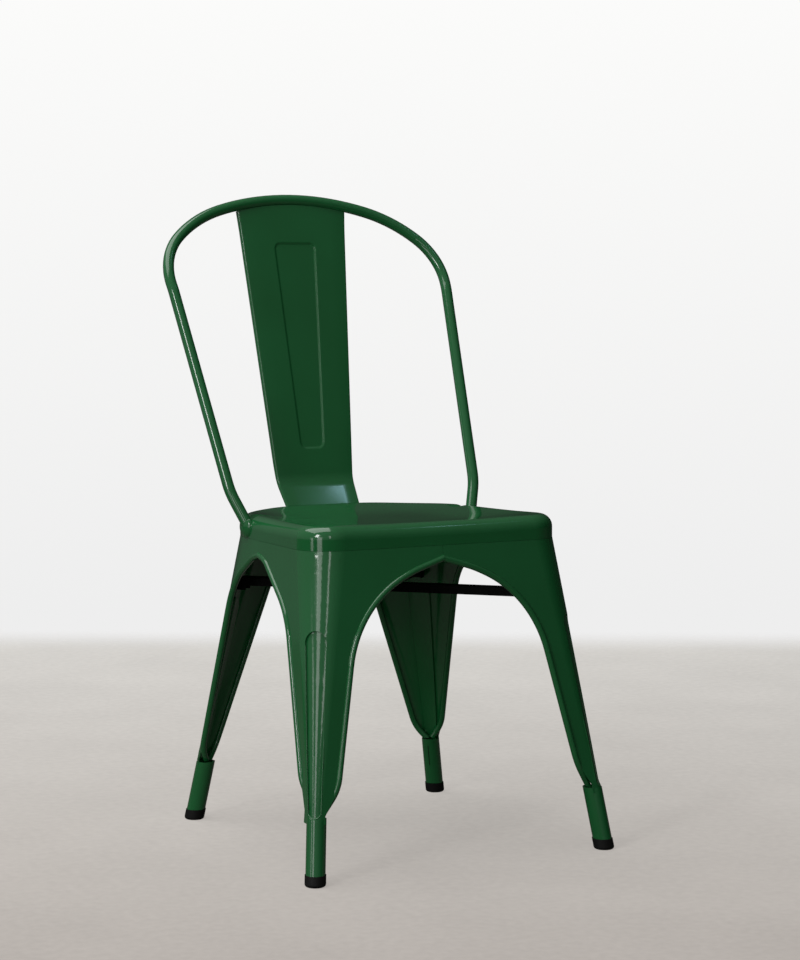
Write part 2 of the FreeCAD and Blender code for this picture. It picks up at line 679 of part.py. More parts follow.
def make_brace(mirrored, space):
    """Inverted channel between two opposite legs, halved where the two cross."""
    start = brace_corner(-1)
    finish = brace_corner(1)
    finish = vec(-finish.x, finish.y, finish.z)
    run = finish - start
    along = vec(run.x, run.y, 0).normalize()
    across = vec(-along.y, along.x, 0)
    length = run.Length
    half = BRACE_WIDTH / 2
    z_low = BRACE_Z - BRACE_HEIGHT / 2
    z_high = BRACE_Z + BRACE_HEIGHT / 2

    def bar(width, low, high, first, last):
        corners = []
        for s, w in ((first, -width), (last, -width), (last, width), (first, width)):
            point = start + along * s + across * w
            corners.append(vec(point.x, point.y, low))
        return Part.Face(polygon(corners)).extrude(vec(0, 0, high - low))

    channel = bar(half, z_low, z_high, -20, length + 20)
    channel = channel.cut(bar(half - SHEET, z_low - 1, z_high - SHEET, 12, length - 12))
    for first, last in ((-20, BRACE_TAB_DEPTH + 8), (length - BRACE_TAB_DEPTH - 8, length + 20)):
        channel = channel.fuse(bar(half, z_low - BRACE_TAB_DROP, z_high, first, last))
    for first, last in ((BRACE_TAB_DEPTH, 40), (length - 40, length - BRACE_TAB_DEPTH)):
        hollow = bar(half - SHEET, z_low - BRACE_TAB_DROP - 1, z_high - SHEET, first, last)
        channel = channel.cut(hollow)
    channel = channel.common(space)
    cross = crossing(start, along)
    side = half + FIT_GAP
    lap = Part.makeBox(4 * half, 4 * half, BRACE_HEIGHT, vec(-2 * half, -2 * half, 0))
    other_along = vec(-along.x, along.y, 0)
    other_across = vec(-other_along.y, other_along.x, 0)
    corners = []
    for s, w in ((-30, -side), (30, -side), (30, side), (-30, side)):
        point = cross + other_along * s + other_across * w
        corners.append(vec(point.x, point.y, BRACE_Z if mirrored else BRACE_Z - 30))
    lap = Part.Face(polygon(corners)).extrude(vec(0, 0, 30 + (0 if mirrored else FIT_GAP)))
    channel = channel.cut(lap)
    return channel.mirror(vec(0, 0, 0), vec(1, 0, 0)) if mirrored else channel


def crossing(start, along):
    """Point on the chair's centre plane where the two braces cross."""
    return start + along * (-start.x / along.x)


def mirrored(shape):
    return shape.mirror(vec(0, 0, 0), vec(1, 0, 0))


def build():
    hoop_solid = make_hoop(HOOP_RADIUS)
    hoop_space = make_hoop(HOOP_RADIUS + FIT_GAP)
    pieces = {}
    pieces["back_hoop"] = hoop_solid.cut(make_hoop(HOOP_BORE))
    pieces["seat_pan"] = make_seat(hoop_space)
    pieces["back_splat"] = make_splat(hoop_space)
    for name, end in (("front", -1), ("rear", 1)):
        leg = make_leg(end, hoop_space)
        pieces["leg_%s_right" % name] = leg
        pieces["leg_%s_left" % name] = mirrored(leg)
        cap = make_cap(end)
        pieces["foot_cap_%s_right" % name] = cap
        pieces["foot_cap_%s_left" % name] = mirrored(cap)
    space = brace_space()
    pieces["brace_front_right_rear_left"] = make_brace(False, space)
    pieces["brace_front_left_rear_right"] = make_brace(True, space)
    return pieces


os.makedirs("parts", exist_ok=True)
for name, shape in build().items():
    shape.translate(vec(0, -CENTRE_Y, 0))
    solids = shape.Solids
    print(name, "solids", len(solids), "valid", shape.isValid(), "volume", round(shape.Volume))
    solids[0].exportStep("parts/%s.step" % name)
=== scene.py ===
# %% [markdown]
# A steel bistro chair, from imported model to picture.
# The real chair is pressed sheet, bent tube and four rubber caps, welded together and
# powder coated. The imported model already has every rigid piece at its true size. This
# lesson gives those pieces their finishes and makes the back panel again as a fine sheet.
# It then adds the weld beads, the lips of the flutes and the seams of the feet, and sets
# up the floor, the room, the lamps and the camera.

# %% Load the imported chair
import math

import bpy
from mathutils import Matrix, Vector
from mathutils.bvhtree import BVHTree


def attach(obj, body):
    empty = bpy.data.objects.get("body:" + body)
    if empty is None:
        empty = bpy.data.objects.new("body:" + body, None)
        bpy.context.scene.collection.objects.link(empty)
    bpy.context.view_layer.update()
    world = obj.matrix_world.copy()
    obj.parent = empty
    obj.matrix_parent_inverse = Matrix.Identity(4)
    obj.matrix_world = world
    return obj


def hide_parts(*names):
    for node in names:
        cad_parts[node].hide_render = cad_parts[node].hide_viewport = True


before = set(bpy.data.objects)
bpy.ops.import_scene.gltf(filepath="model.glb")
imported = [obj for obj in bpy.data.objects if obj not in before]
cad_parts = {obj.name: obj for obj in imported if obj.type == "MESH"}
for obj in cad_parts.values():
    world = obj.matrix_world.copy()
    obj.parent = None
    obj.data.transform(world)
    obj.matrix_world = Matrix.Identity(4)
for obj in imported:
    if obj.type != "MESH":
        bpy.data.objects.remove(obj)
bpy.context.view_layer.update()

# %% [markdown]
# Colours are easiest to pick as sRGB hex values, the way a paint chart or a picture
# editor gives them. Blender shades in linear light, so one function converts them.
# A second small function adds a node, so that each material reads like a recipe.
# Blender measures in metres, while a chair maker writes millimetres: MM turns one into
# the other.

# %% Colour and node helpers
MM = 0.001


def linear(hex_colour):
    channels = []
    for start in (1, 3, 5):
        value = int(hex_colour[start:start + 2], 16) / 255
        channels.append(value / 12.92 if value <= 0.04045 else ((value + 0.055) / 1.055) ** 2.4)
    return (*channels, 1.0)


def add_node(tree, kind, settings=None, inputs=None):
    node = tree.nodes.new(kind)
    for name, value in (settings or {}).items():
        setattr(node, name, value)
    for name, value in (inputs or {}).items():
        if isinstance(value, bpy.types.NodeSocket):
            tree.links.new(value, node.inputs[name])
        else:
            node.inputs[name].default_value = value
    return node


def new_material(name):
    material = bpy.data.materials.new(name)
    material.use_nodes = True
    material.node_tree.nodes.clear()
    return material


print("mid green in linear light", linear("#1F5A33"))

# %% [markdown]
# The camera stands where the photographer stood, about three metres off and a little
# above the seat, to the front left of the chair. A long lens keeps the legs from
# spreading. The camera could be placed by eye, but then no edge would fall quite where
# the photograph has it, so its place and lens were fitted to the outlines of the feet,
# the seat and the back.

# %% Camera
CAMERA_PLACE = Vector((-1.5511, -2.8975, 0.7606))
CAMERA_AHEAD = Vector((0.479473, 0.873092, -0.088407))
CAMERA_RIGHT = Vector((0.876666, -0.481087, 0.003444))
SENSOR_WIDTH = 36.0
LENS = 93.284
FARTHEST_SEEN = 100.0

camera_data = bpy.data.cameras.new("photo_camera")
camera_data.sensor_width = SENSOR_WIDTH
camera_data.lens = LENS
camera_data.clip_end = FARTHEST_SEEN
camera = bpy.data.objects.new("photo_camera", camera_data)
bpy.context.collection.objects.link(camera)
ahead = CAMERA_AHEAD.normalized()
right = (CAMERA_RIGHT - ahead * CAMERA_RIGHT.dot(ahead)).normalized()
turn = Matrix((right, right.cross(ahead), -ahead)).transposed()
camera.matrix_world = Matrix.Translation(CAMERA_PLACE) @ turn.to_4x4()
bpy.context.scene.camera = camera
print("camera", CAMERA_PLACE, "lens", LENS)

# %% [markdown]
# Powder coat is a plastic paint that is sprayed on dry and baked on to the steel. It
# melts into a thick, glossy skin with a fine ripple, called orange peel, which softens
# the edges of a reflection. A picture could carry the ripple, but it would have to be
# wrapped round every piece. Noise on Object coordinates needs no wrapping and keeps its
# real size, one wave in about two millimetres. Slow clouds change the colour and the
# gloss a little, as the thickness of the coat does, and a clear top keeps the
# reflections sharp. The two braces get the same recipe in satin near-black, with no
# clear top: painted shade, which stands for the deep shade under the seat.

# %% Powder-coated steel
PAINT_DEEP = "#165B2D"
PAINT_LIGHT = "#1A6636"
# The braces' near-black is painted shade, standing for the deep shade under the seat.
BAR_SHADE_DEEP = "#020302"
BAR_SHADE_LIGHT = "#050705"
CLOUD_SIZE = 90.0
PEEL_WAVELENGTH = 2.2
PEEL_DEPTH = 0.02
PEEL_STRENGTH = 0.25
GLOSS_SPREAD = 0.05
CLEAR_TOP_ROUGHNESS = 0.06


def powder_coated_steel(name, deep, light, clear_top, sheen, shine):
    material = new_material(name)
    tree = material.node_tree
    place = add_node(tree, "ShaderNodeTexCoord").outputs["Object"]
    clouds = add_node(tree, "ShaderNodeTexNoise", inputs={
        "Vector": place, "Scale": 1 / (CLOUD_SIZE * MM), "Detail": 2.0})
    colour = add_node(tree, "ShaderNodeMix", {"data_type": "RGBA"}, {
        "Factor": clouds.outputs["Fac"], "A": linear(deep), "B": linear(light)})
    peel = add_node(tree, "ShaderNodeTexNoise", inputs={
        "Vector": place, "Scale": 1 / (PEEL_WAVELENGTH * MM), "Detail": 1.0})
    ripple = add_node(tree, "ShaderNodeBump", inputs={
        "Height": peel.outputs["Fac"], "Strength": PEEL_STRENGTH, "Distance": PEEL_DEPTH * MM})
    gloss = add_node(tree, "ShaderNodeMapRange", inputs={
        "Value": clouds.outputs["Fac"], "To Min": sheen, "To Max": sheen + GLOSS_SPREAD})
    shader = add_node(tree, "ShaderNodeBsdfPrincipled", inputs={
        "Base Color": colour.outputs[2], "Roughness": gloss.outputs["Result"],
        "Normal": ripple.outputs["Normal"], "IOR": 1.5, "Specular IOR Level": shine,
        "Coat Weight": clear_top, "Coat Roughness": CLEAR_TOP_ROUGHNESS})
    add_node(tree, "ShaderNodeOutputMaterial", inputs={"Surface": shader.outputs["BSDF"]})
    return material


paint = powder_coated_steel(
    "gloss_green_powder_coat", PAINT_DEEP, PAINT_LIGHT, clear_top=0.4, sheen=0.10, shine=0.5)
# Near-black painted shade for the braces under the seat; the rolled seams use it for their dark line.
seam_and_painted_shade = powder_coated_steel(
    "seam_and_painted_shade_coat", BAR_SHADE_DEEP, BAR_SHADE_LIGHT, clear_top=0.0, sheen=0.55, shine=0.12)
print("made", paint.name, "and", seam_and_painted_shade.name)

# %% [markdown]
# The feet stand in caps of EPDM rubber, moulded in a plain steel tool. Rubber soaks up
# light: it is nearly black, with a weak, wide sheen. A flat dark colour would look like
# a hole in the picture, so the faint grain that the tool leaves is drawn as well. The
# real grain is finer: it is drawn 0.8 mm wide so that it can show at all.

# %% Moulded EPDM rubber
RUBBER_COLOUR = "#0C0C0B"
RUBBER_GRAIN = 0.8
RUBBER_GRAIN_DEPTH = 0.1
RUBBER_GRAIN_STRENGTH = 0.4
RUBBER_SMOOTHEST = 0.55
RUBBER_ROUGHEST = 0.75


def moulded_rubber():
    material = new_material("moulded_epdm_rubber")
    tree = material.node_tree
    place = add_node(tree, "ShaderNodeTexCoord").outputs["Object"]
    grain = add_node(tree, "ShaderNodeTexNoise", inputs={
        "Vector": place, "Scale": 1 / (RUBBER_GRAIN * MM), "Detail": 3.0})
    relief = add_node(tree, "ShaderNodeBump", inputs={
        "Height": grain.outputs["Fac"], "Strength": RUBBER_GRAIN_STRENGTH,
        "Distance": RUBBER_GRAIN_DEPTH * MM})
    sheen = add_node(tree, "ShaderNodeMapRange", inputs={
        "Value": grain.outputs["Fac"], "To Min": RUBBER_SMOOTHEST, "To Max": RUBBER_ROUGHEST})
    shader = add_node(tree, "ShaderNodeBsdfPrincipled", inputs={
        "Base Color": linear(RUBBER_COLOUR), "Roughness": sheen.outputs["Result"],
        "Normal": relief.outputs["Normal"], "IOR": 1.45, "Specular IOR Level": 0.3})
    add_node(tree, "ShaderNodeOutputMaterial", inputs={"Surface": shader.outputs["BSDF"]})
    return material


rubber = moulded_rubber()
print("made", rubber.name)

# %% [markdown]
# The imported pieces keep their own meshes and only get a finish. Thirteen pieces could be
# painted one by one, but their names already say what they are: a foot cap is rubber, a
# brace gets near-black painted shade for the deep shade under the seat, and all the
# others are green.

# %% Finish each imported piece
def finish_for(name):
    if name.startswith("foot_cap"):
        return rubber
    # A brace gets the near-black painted shade.
    if name.startswith("brace"):
        return seam_and_painted_shade
    return paint


for name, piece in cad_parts.items():
    finish = finish_for(name)
    for slot in piece.material_slots:
        slot.material = finish
    if not piece.material_slots:
        piece.data.materials.append(finish)
print("finished", len(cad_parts), "packed pieces")

# %% [markdown]
# The back panel is the piece nearest to the eye, so it is made again here as a fine
# sheet. On the real chair a press folds its sides back, sinks a long panel into it and
# bends its foot forward to meet the seat. It could be sculpted, or cut from a solid, but
# each of those bends follows a simple rule. So one function gives the side view, a
# second one gives the sunk panel, and a net of points is laid on both.

# %% Side view of the back panel
KNEE_Z = 456.0
KNEE_Y = 169.6
KNEE_REACH = 9.0
UPPER_LEAN = 0.2003
LOWER_LEAN = 0.74


def front_y(z):
    """Front face of the panel in the side view: straight, bent once at the knee."""
    below = KNEE_Z - z
    if below > KNEE_REACH:
        bend = below
    elif below > -KNEE_REACH:
        bend = (below + KNEE_REACH) ** 2 / (4 * KNEE_REACH)
    else:
        bend = 0.0
    return KNEE_Y - UPPER_LEAN * below - (LOWER_LEAN - UPPER_LEAN) * bend


print("front face at the knee", front_y(KNEE_Z), "mm")

# %% Sunk panel
PANEL_LOW_Z = 498.0
PANEL_HIGH_Z = 784.0
PANEL_LOW_HALF_WIDTH = 19.0
PANEL_HIGH_HALF_WIDTH = 33.0
PANEL_CORNER = 10.0
PANEL_DEPTH = 1.5
PANEL_SLOPE = 3.6


def blend(low, high, share):
    return low + (high - low) * share


def share_of(value, low, high):
    return min(max((value - low) / (high - low), 0.0), 1.0)


def panel_half_width(z):
    share = (z - PANEL_LOW_Z) / (PANEL_HIGH_Z - PANEL_LOW_Z)
    return blend(PANEL_LOW_HALF_WIDTH, PANEL_HIGH_HALF_WIDTH, share)


def sunk_depth(x, z):
    """How deep the sunk panel lies at a point: its sides slope down in a soft curve."""
    middle_z = (PANEL_LOW_Z + PANEL_HIGH_Z) / 2
    half_height = (PANEL_HIGH_Z - PANEL_LOW_Z) / 2
    across = abs(x) - panel_half_width(z) + PANEL_CORNER
    along = abs(z - middle_z) - half_height + PANEL_CORNER
    past_edge = math.hypot(max(across, 0.0), max(along, 0.0)) + min(max(across, along), 0.0) - PANEL_CORNER
    step = share_of(-past_edge, 0.0, PANEL_SLOPE)
    return PANEL_DEPTH * step * step * (3 - 2 * step)


print("sunk in the middle by", sunk_depth(0.0, (PANEL_LOW_Z + PANEL_HIGH_Z) / 2), "mm")

# %% [markdown]
# A net with even spacing would need very many points to draw the small bends cleanly.
# The rows and columns of this one lie close together where the sheet curves and far
# apart where it is flat, and its columns follow the sloping sides of the panel.

# %% Rows of the net
FOOT_Z = 423.8
LEVEL_TOP_Z = 800.0
TOP_Z = 835.8
BEND_TOP_Z = KNEE_Z + 16
OUTSIDE_EDGE = 4.0
INSIDE_EDGE = 14.0
ROW_STRETCHES = (
    # from height, to height, distance between the rows
    (FOOT_Z, BEND_TOP_Z, 2.0),
    (BEND_TOP_Z, PANEL_LOW_Z - OUTSIDE_EDGE, 8.0),
    (PANEL_LOW_Z - OUTSIDE_EDGE, PANEL_LOW_Z + INSIDE_EDGE, 0.75),
    (PANEL_LOW_Z + INSIDE_EDGE, PANEL_HIGH_Z - INSIDE_EDGE, 12.0),
    (PANEL_HIGH_Z - INSIDE_EDGE, PANEL_HIGH_Z + OUTSIDE_EDGE, 0.75),
    (PANEL_HIGH_Z + OUTSIDE_EDGE, LEVEL_TOP_Z, 4.0),
    (LEVEL_TOP_Z, TOP_Z, 4.0),
)


def steps(low, high, size):
    """Evenly spaced values from low up to, but not including, high."""
    count = max(1, round((high - low) / size))
    return [blend(low, high, i / count) for i in range(count)]


rows = [z for low, high, size in ROW_STRETCHES for z in steps(low, high, size)] + [TOP_Z]
print("net of", len(rows), "rows")

# %% Columns of the net
FOOT_HALF_WIDTH = 56.5
TOP_HALF_WIDTH = 83.6
FOLD_RADIUS = 2.5
FOLD_STEPS = 6
FOLD_DEPTH = 6.5
FOLD_FOOT_DEPTH = 2.8
FOLD_TAPER_Z = 480.0
MIDDLE_COLUMNS = 5
SLOPE_COLUMN = 0.75
SLOPE_MARGIN = 1.5


def half_row(z):
    """Distance across and depth of each column, from the middle out to the folded edge."""
    half = blend(FOOT_HALF_WIDTH, TOP_HALF_WIDTH, (z - FOOT_Z) / (TOP_Z - FOOT_Z))
    flat_half = half - FOLD_RADIUS
    panel_half = panel_half_width(z)
    middle = panel_half - PANEL_CORNER
    columns = [(x, 0.0) for x in steps(0.0, middle, middle / MIDDLE_COLUMNS)]
    columns += [(x, 0.0) for x in steps(middle, middle + PANEL_CORNER + SLOPE_MARGIN, SLOPE_COLUMN)]
    columns += [(panel_half + SLOPE_MARGIN, 0.0), ((panel_half + flat_half) / 2, 0.0)]
    for step in range(FOLD_STEPS + 1):
        turn = math.pi / 2 * step / FOLD_STEPS
        columns.append((flat_half + FOLD_RADIUS * math.sin(turn), FOLD_RADIUS * (1 - math.cos(turn))))
    columns.append((half, blend(FOLD_FOOT_DEPTH, FOLD_DEPTH, share_of(z, FOOT_Z, FOLD_TAPER_Z))))
    return columns


print("and", 2 * len(half_row(TOP_Z)) - 1, "columns")

# %% Points and faces of the net
TOP_EDGE_RADIUS = 380.0


def net_row(z):
    """One row of points from left to right. Near the top the rows sag to the curved edge."""
    lean = front_y(z + 0.5) - front_y(z - 0.5)
    back = Vector((0, 1, -lean)).normalized()
    reach = share_of(z, LEVEL_TOP_Z, TOP_Z)
    right_half = half_row(z)
    left_half = [(-x, depth) for x, depth in right_half[:0:-1]]
    row = []
    for x, depth in left_half + right_half:
        height = z - reach * x * x / (2 * TOP_EDGE_RADIUS)
        row.append(Vector((x, front_y(height), height)) + back * (depth + sunk_depth(x, height)))
    return row


def net_faces(row_count, column_count):
    faces = []
    for i in range(row_count - 1):
        for j in range(column_count - 1):
            first = i * column_count + j
            faces.append((first, first + 1, first + column_count + 1, first + column_count))
    return faces


net = [net_row(z) for z in rows]
faces = net_faces(len(net), len(net[0]))
print(len(faces), "faces")

# %% [markdown]
# The net is only a skin. A second net could be laid behind it, but the Solidify modifier
# gives it the thickness of the real sheet in one step. It grows towards the back, so the
# front keeps its measured place. The result is then turned into a plain mesh, which is
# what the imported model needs, and rides on the chair's body.

# %% From net to sheet
SPLAT_SHEET = 1.5
BEND_SHARPNESS = 35


def new_object(name, points, edges, faces):
    """An object made of points in millimetres."""
    mesh = bpy.data.meshes.new(name)
    mesh.from_pydata([tuple(point * MM) for point in points], edges, faces)
    obj = bpy.data.objects.new(name, mesh)
    bpy.context.collection.objects.link(obj)
    return obj


def plain_piece(obj, name, material, sharp):
    """Bake an object's modifiers into a plain, smooth-shaded mesh that rides on the chair."""
    depsgraph = bpy.context.evaluated_depsgraph_get()
    mesh = bpy.data.meshes.new_from_object(obj.evaluated_get(depsgraph), depsgraph=depsgraph)
    bpy.data.objects.remove(obj)
    mesh.name = name
    mesh.materials.clear()
    mesh.materials.append(material)
    for polygon in mesh.polygons:
        polygon.use_smooth = True
        polygon.material_index = 0
    mesh.set_sharp_from_angle(angle=math.radians(sharp))
    piece = bpy.data.objects.new(name, mesh)
    bpy.context.collection.objects.link(piece)
    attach(piece, "root")
    return piece


sheet = new_object("back_panel_sheet", [point for row in net for point in row], [], faces)
thicken = sheet.modifiers.new("thicken", "SOLIDIFY")
thicken.thickness = SPLAT_SHEET * MM
thicken.offset = -1.0
thicken.use_even_offset = True
back_panel = plain_piece(sheet, "pressed_back_panel", paint, BEND_SHARPNESS)
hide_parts("back_splat")
print("back panel", len(back_panel.data.polygons), "faces")

# %% [markdown]
# The panel hangs on short welds: three runs join its top to the tube from behind, and
# two more hold its foot to the seat. A weld is a row of frozen drops, each one laid half
# over the last. Placing more than a hundred drops by hand would be slow. Geometry Nodes
# walks along a path and sets a drop down at every step, so one recipe serves a run of
# any length. The helpers below are used again for the lips of the flutes.

# %% Recipes that follow a path
def start_recipe(name, sizes, result):
    """A node group with a path, named sizes and a paint as inputs."""
    group = bpy.data.node_groups.new(name, "GeometryNodeTree")
    face = group.interface
    face.new_socket("Path", in_out="INPUT", socket_type="NodeSocketGeometry")
    for size in sizes:
        face.new_socket(size, in_out="INPUT", socket_type="NodeSocketFloat")
    face.new_socket("Paint", in_out="INPUT", socket_type="NodeSocketMaterial")
    face.new_socket(result, in_out="OUTPUT", socket_type="NodeSocketGeometry")
    start = add_node(group, "NodeGroupInput")
    path = add_node(group, "GeometryNodeMeshToCurve", inputs={"Mesh": start.outputs["Path"]})
    return group, start, path


def end_recipe(group, start, shape, result):
    """Make copies real and paint them, because the export keeps only plain meshes."""
    real = add_node(group, "GeometryNodeRealizeInstances", inputs={"Geometry": shape})
    painted = add_node(group, "GeometryNodeSetMaterial", inputs={
        "Geometry": real.outputs["Geometry"], "Material": start.outputs["Paint"]})
    add_node(group, "NodeGroupOutput", inputs={result: painted.outputs["Geometry"]})


def follow_path(name, points, edges, group, values, sharp):
    """Run a recipe along a path. Its inputs are set by their sockets' identifiers."""
    path = new_object(name + "_path", points, edges, [])
    layer = path.modifiers.new(group.name, "NODES")
    layer.node_group = group
    for item in group.interface.items_tree:
        if item.name in values:
            layer[item.identifier] = values[item.name]
    return plain_piece(path, name, paint, sharp)


# %% [markdown]
# The drops of a real weld are never quite alike, so each one gets its own size between
# two limits. The seed of those random sizes is fixed, and every run of the script gives
# the same bead. The paths only say where the runs lie: under the tube at the top of the
# panel, and behind its foot.

# %% Weld beads
BEAD_RADIUS = 1.7
BEAD_PITCH = 1.3
SMALLEST_DROP = 0.88
LARGEST_DROP = 1.1
RUN_HALF_LENGTH = 15.0
RUN_STEPS = 12
TOP_RUNS = (-58.0, 0.0, 58.0)
FOOT_RUNS = (-36.0, 36.0)


def bead_recipe():
    group, start, path = start_recipe("weld_bead", ("Bead radius", "Drop pitch"), "Bead")
    stops = add_node(group, "GeometryNodeResampleCurve", {"mode": "LENGTH"}, {
        "Curve": path.outputs["Curve"], "Length": start.outputs["Drop pitch"]})
    drop = add_node(group, "GeometryNodeMeshIcoSphere", inputs={
        "Radius": start.outputs["Bead radius"], "Subdivisions": 3})
    # inputs 2 and 3 of a random value are the least and the greatest number
    uneven = add_node(group, "FunctionNodeRandomValue", {"data_type": "FLOAT"}, {
        2: SMALLEST_DROP, 3: LARGEST_DROP, "Seed": 0})
    row = add_node(group, "GeometryNodeInstanceOnPoints", inputs={
        "Points": stops.outputs["Curve"], "Instance": drop.outputs["Mesh"],
        "Scale": uneven.outputs[1]})
    end_recipe(group, start, row.outputs["Instances"], "Bead")
    return group


def weld(name, runs, place):
    """One weld bead along each run; place gives the bead's middle for a distance across."""
    points = []
    edges = []
    for middle in runs:
        for i in range(RUN_STEPS + 1):
            points.append(place(middle + RUN_HALF_LENGTH * (2 * i / RUN_STEPS - 1)))
            if i:
                edges.append((len(points) - 2, len(points) - 1))
    values = {"Bead radius": BEAD_RADIUS * MM, "Drop pitch": BEAD_PITCH * MM, "Paint": paint}
    return follow_path(name, points, edges, bead, values, BEND_SHARPNESS)


def under_hoop(x):
    z = TOP_Z - x * x / (2 * TOP_EDGE_RADIUS) - 1.3
    return Vector((x, front_y(z) + 2.7, z))


def behind_foot(x):
    return Vector((x, front_y(FOOT_Z) + SPLAT_SHEET + 1.6, FOOT_Z + 0.4))


bead = bead_recipe()
made = weld("weld_panel_top", TOP_RUNS, under_hoop)
print(made.name, len(made.data.polygons), "faces")
made = weld("weld_panel_foot", FOOT_RUNS, behind_foot)
print(made.name, len(made.data.polygons), "faces")

# %% [markdown]
# The press leaves a fine rounded lip along the flute on each leg's corner, brightest
# where it turns round the bottom. It could be drawn by hand over the leg, but the corner
# is curved and leans, and a hand-drawn line would sink in or float off. So the path is
# found on the leg itself: rays shot at the corner tell where the sheet lies. Geometry
# Nodes then sweeps a thin wire along the path, sunk so far into the sheet that less than
# half a millimetre of it stands out.

# %% Outline of a flute
FLUTE_HIGH_Z = 286.0
FLUTE_LOW_Z = 90.0
FLUTE_HIGH_HALF_WIDTH = 13.6
FLUTE_LOW_HALF_WIDTH = 8.9
SIDE_STEPS = 40
TURN_STEPS = 16


def lip_outline():
    """Height and distance from the corner line, down one side, round the bottom and up."""
    side = []
    for i in range(SIDE_STEPS + 1):
        share = i / SIDE_STEPS
        side.append((blend(FLUTE_HIGH_Z, FLUTE_LOW_Z, share),
                     blend(FLUTE_HIGH_HALF_WIDTH, FLUTE_LOW_HALF_WIDTH, share)))
    bottom = []
    for i in range(1, TURN_STEPS):
        angle = math.pi * i / TURN_STEPS
        bottom.append((FLUTE_LOW_Z - FLUTE_LOW_HALF_WIDTH * math.sin(angle),
                       FLUTE_LOW_HALF_WIDTH * math.cos(angle)))
    return side + bottom + [(z, -half) for z, half in side[::-1]]


print("a lip follows", len(lip_outline()), "points")

# %% Lips of the leg flutes
LIP_RADIUS = 0.8
LIP_SUNK = 0.35
WIRE_SIDES = 12
LIP_SHARPNESS = 60
RAY_START = 60.0
CORNERS = {
    # a low and a high point on the corner line of the right-hand leg
    "front": (Vector((208.6, -237.4, 81.0)), Vector((174.3, -172.1, 401.0))),
    "rear": (Vector((183.6, 161.8, 81.0)), Vector((121.6, 116.3, 395.0))),
}


def lip_recipe():
    group, start, path = start_recipe("pressed_lip", ("Lip radius",), "Lip")
    ring = add_node(group, "GeometryNodeCurvePrimitiveCircle", inputs={
        "Resolution": WIRE_SIDES, "Radius": start.outputs["Lip radius"]})
    wire = add_node(group, "GeometryNodeCurveToMesh", inputs={
        "Curve": path.outputs["Curve"], "Profile Curve": ring.outputs["Curve"], "Fill Caps": True})
    end_recipe(group, start, wire.outputs["Mesh"], "Lip")
    return group


def flute_lip(end, side, sign):
    leg = BVHTree.FromObject(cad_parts["leg_" + end + "_" + side], bpy.context.evaluated_depsgraph_get())
    low, high = [Vector((sign * point.x, point.y, point.z)) for point in CORNERS[end]]
    out = Vector((sign, 1 if low.y > 0 else -1, 0)).normalized()
    across = Vector((0, 0, 1)).cross(out)
    points = []
    for z, distance in lip_outline():
        corner = low.lerp(high, (z - low.z) / (high.z - low.z))
        hit, normal, _, _ = leg.ray_cast((corner + out * RAY_START + across * distance) * MM, -out)
        points.append(hit / MM - normal * LIP_SUNK)
    edges = [(i, i + 1) for i in range(len(points) - 1)]
    values = {"Lip radius": LIP_RADIUS * MM, "Paint": paint}
    return follow_path("flute_lip_" + end + "_" + side, points, edges, lip, values, LIP_SHARPNESS)


lip = lip_recipe()
for end in ("front", "rear"):
    for side, sign in (("right", 1), ("left", -1)):
        made = flute_lip(end, side, sign)
        print(made.name, len(made.data.polygons), "faces")

# %% [markdown]
# Each foot is rolled from the leg's own sheet, so a fine seam runs down the side that
# faces the middle of the chair. It shows as a dark line on the far right foot. It could
# be cut into the tube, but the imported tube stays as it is, so a narrow dark strip that
# stands out by a hair's breadth is laid along it.

# %% Rolled seams of the feet
FOOT_RADIUS = 12.3
FOOT_LOW_Z = 44.0
FOOT_HIGH_Z = 73.0
SEAM_WIDTH = 1.0
SEAM_SUNK = 0.4
SEAM_PROUD = 0.03
SEAM_FACES = [(0, 1, 2, 3), (7, 6, 5, 4), (0, 4, 5, 1), (1, 5, 6, 2), (2, 6, 7, 3), (3, 7, 4, 0)]
FEET = (
    # x and y of the foot's middle at the floor, and how far it moves per unit of height
    ("front", 210.0, -244.81, 0.12, 0.195),
    ("rear", 189.0, 163.19, 0.17, -0.12),
)


def rolled_seam(name, x, y, lean_x, lean_y):
    axis = Vector((lean_x, lean_y, 1)).normalized()
    inward = Vector((-x, -y, 0)).normalized()
    inward = (inward - axis * inward.dot(axis)).normalized()
    beside = axis.cross(inward)
    points = []
    for z in (FOOT_LOW_Z, FOOT_HIGH_Z):
        middle = Vector((x + lean_x * z, y + lean_y * z, z))
        for side, out in ((-0.5, -SEAM_SUNK), (-0.5, SEAM_PROUD), (0.5, SEAM_PROUD), (0.5, -SEAM_SUNK)):
            points.append(middle + inward * (FOOT_RADIUS + out) + beside * side * SEAM_WIDTH)
    seam = new_object(name, points, [], SEAM_FACES)
    seam.data.materials.append(seam_and_painted_shade)
    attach(seam, "root")
    return seam


for end, x, y, lean_x, lean_y in FEET:
    for side, sign in (("right", 1), ("left", -1)):
        rolled_seam("rolled_seam_" + end + "_" + side, sign * x, y, -sign * lean_x, lean_y)
print("four rolled seams,", SEAM_WIDTH, "mm wide")

# %% [markdown]
# A product picture is taken on a pale floor in front of a pale wall. A studio hangs one
# long curved sheet of paper for both. Here a flat sheet is enough: it fades away a metre
# and a half behind the chair, and the wall behind it is only the colour of the world, so
# the line between them is as soft as in the photograph.

# %% Floor sheet
FLOOR_FAR = 1.79
FLOOR_NEAR = 12.0
FLOOR_SIDE = 9.0

level_ahead = Vector((ahead.x, ahead.y, 0)).normalized()
level_right = Vector((level_ahead.y, -level_ahead.x, 0))
corners = []
for depth, side in ((FLOOR_FAR, 1), (-FLOOR_NEAR, 1), (-FLOOR_NEAR, -1), (FLOOR_FAR, -1)):
    corners.append((level_ahead * depth + level_right * side * FLOOR_SIDE) / MM)
floor = new_object("studio_floor", corners, [], [(0, 1, 2, 3)])
print("floor reaches", FLOOR_FAR, "m behind the chair")
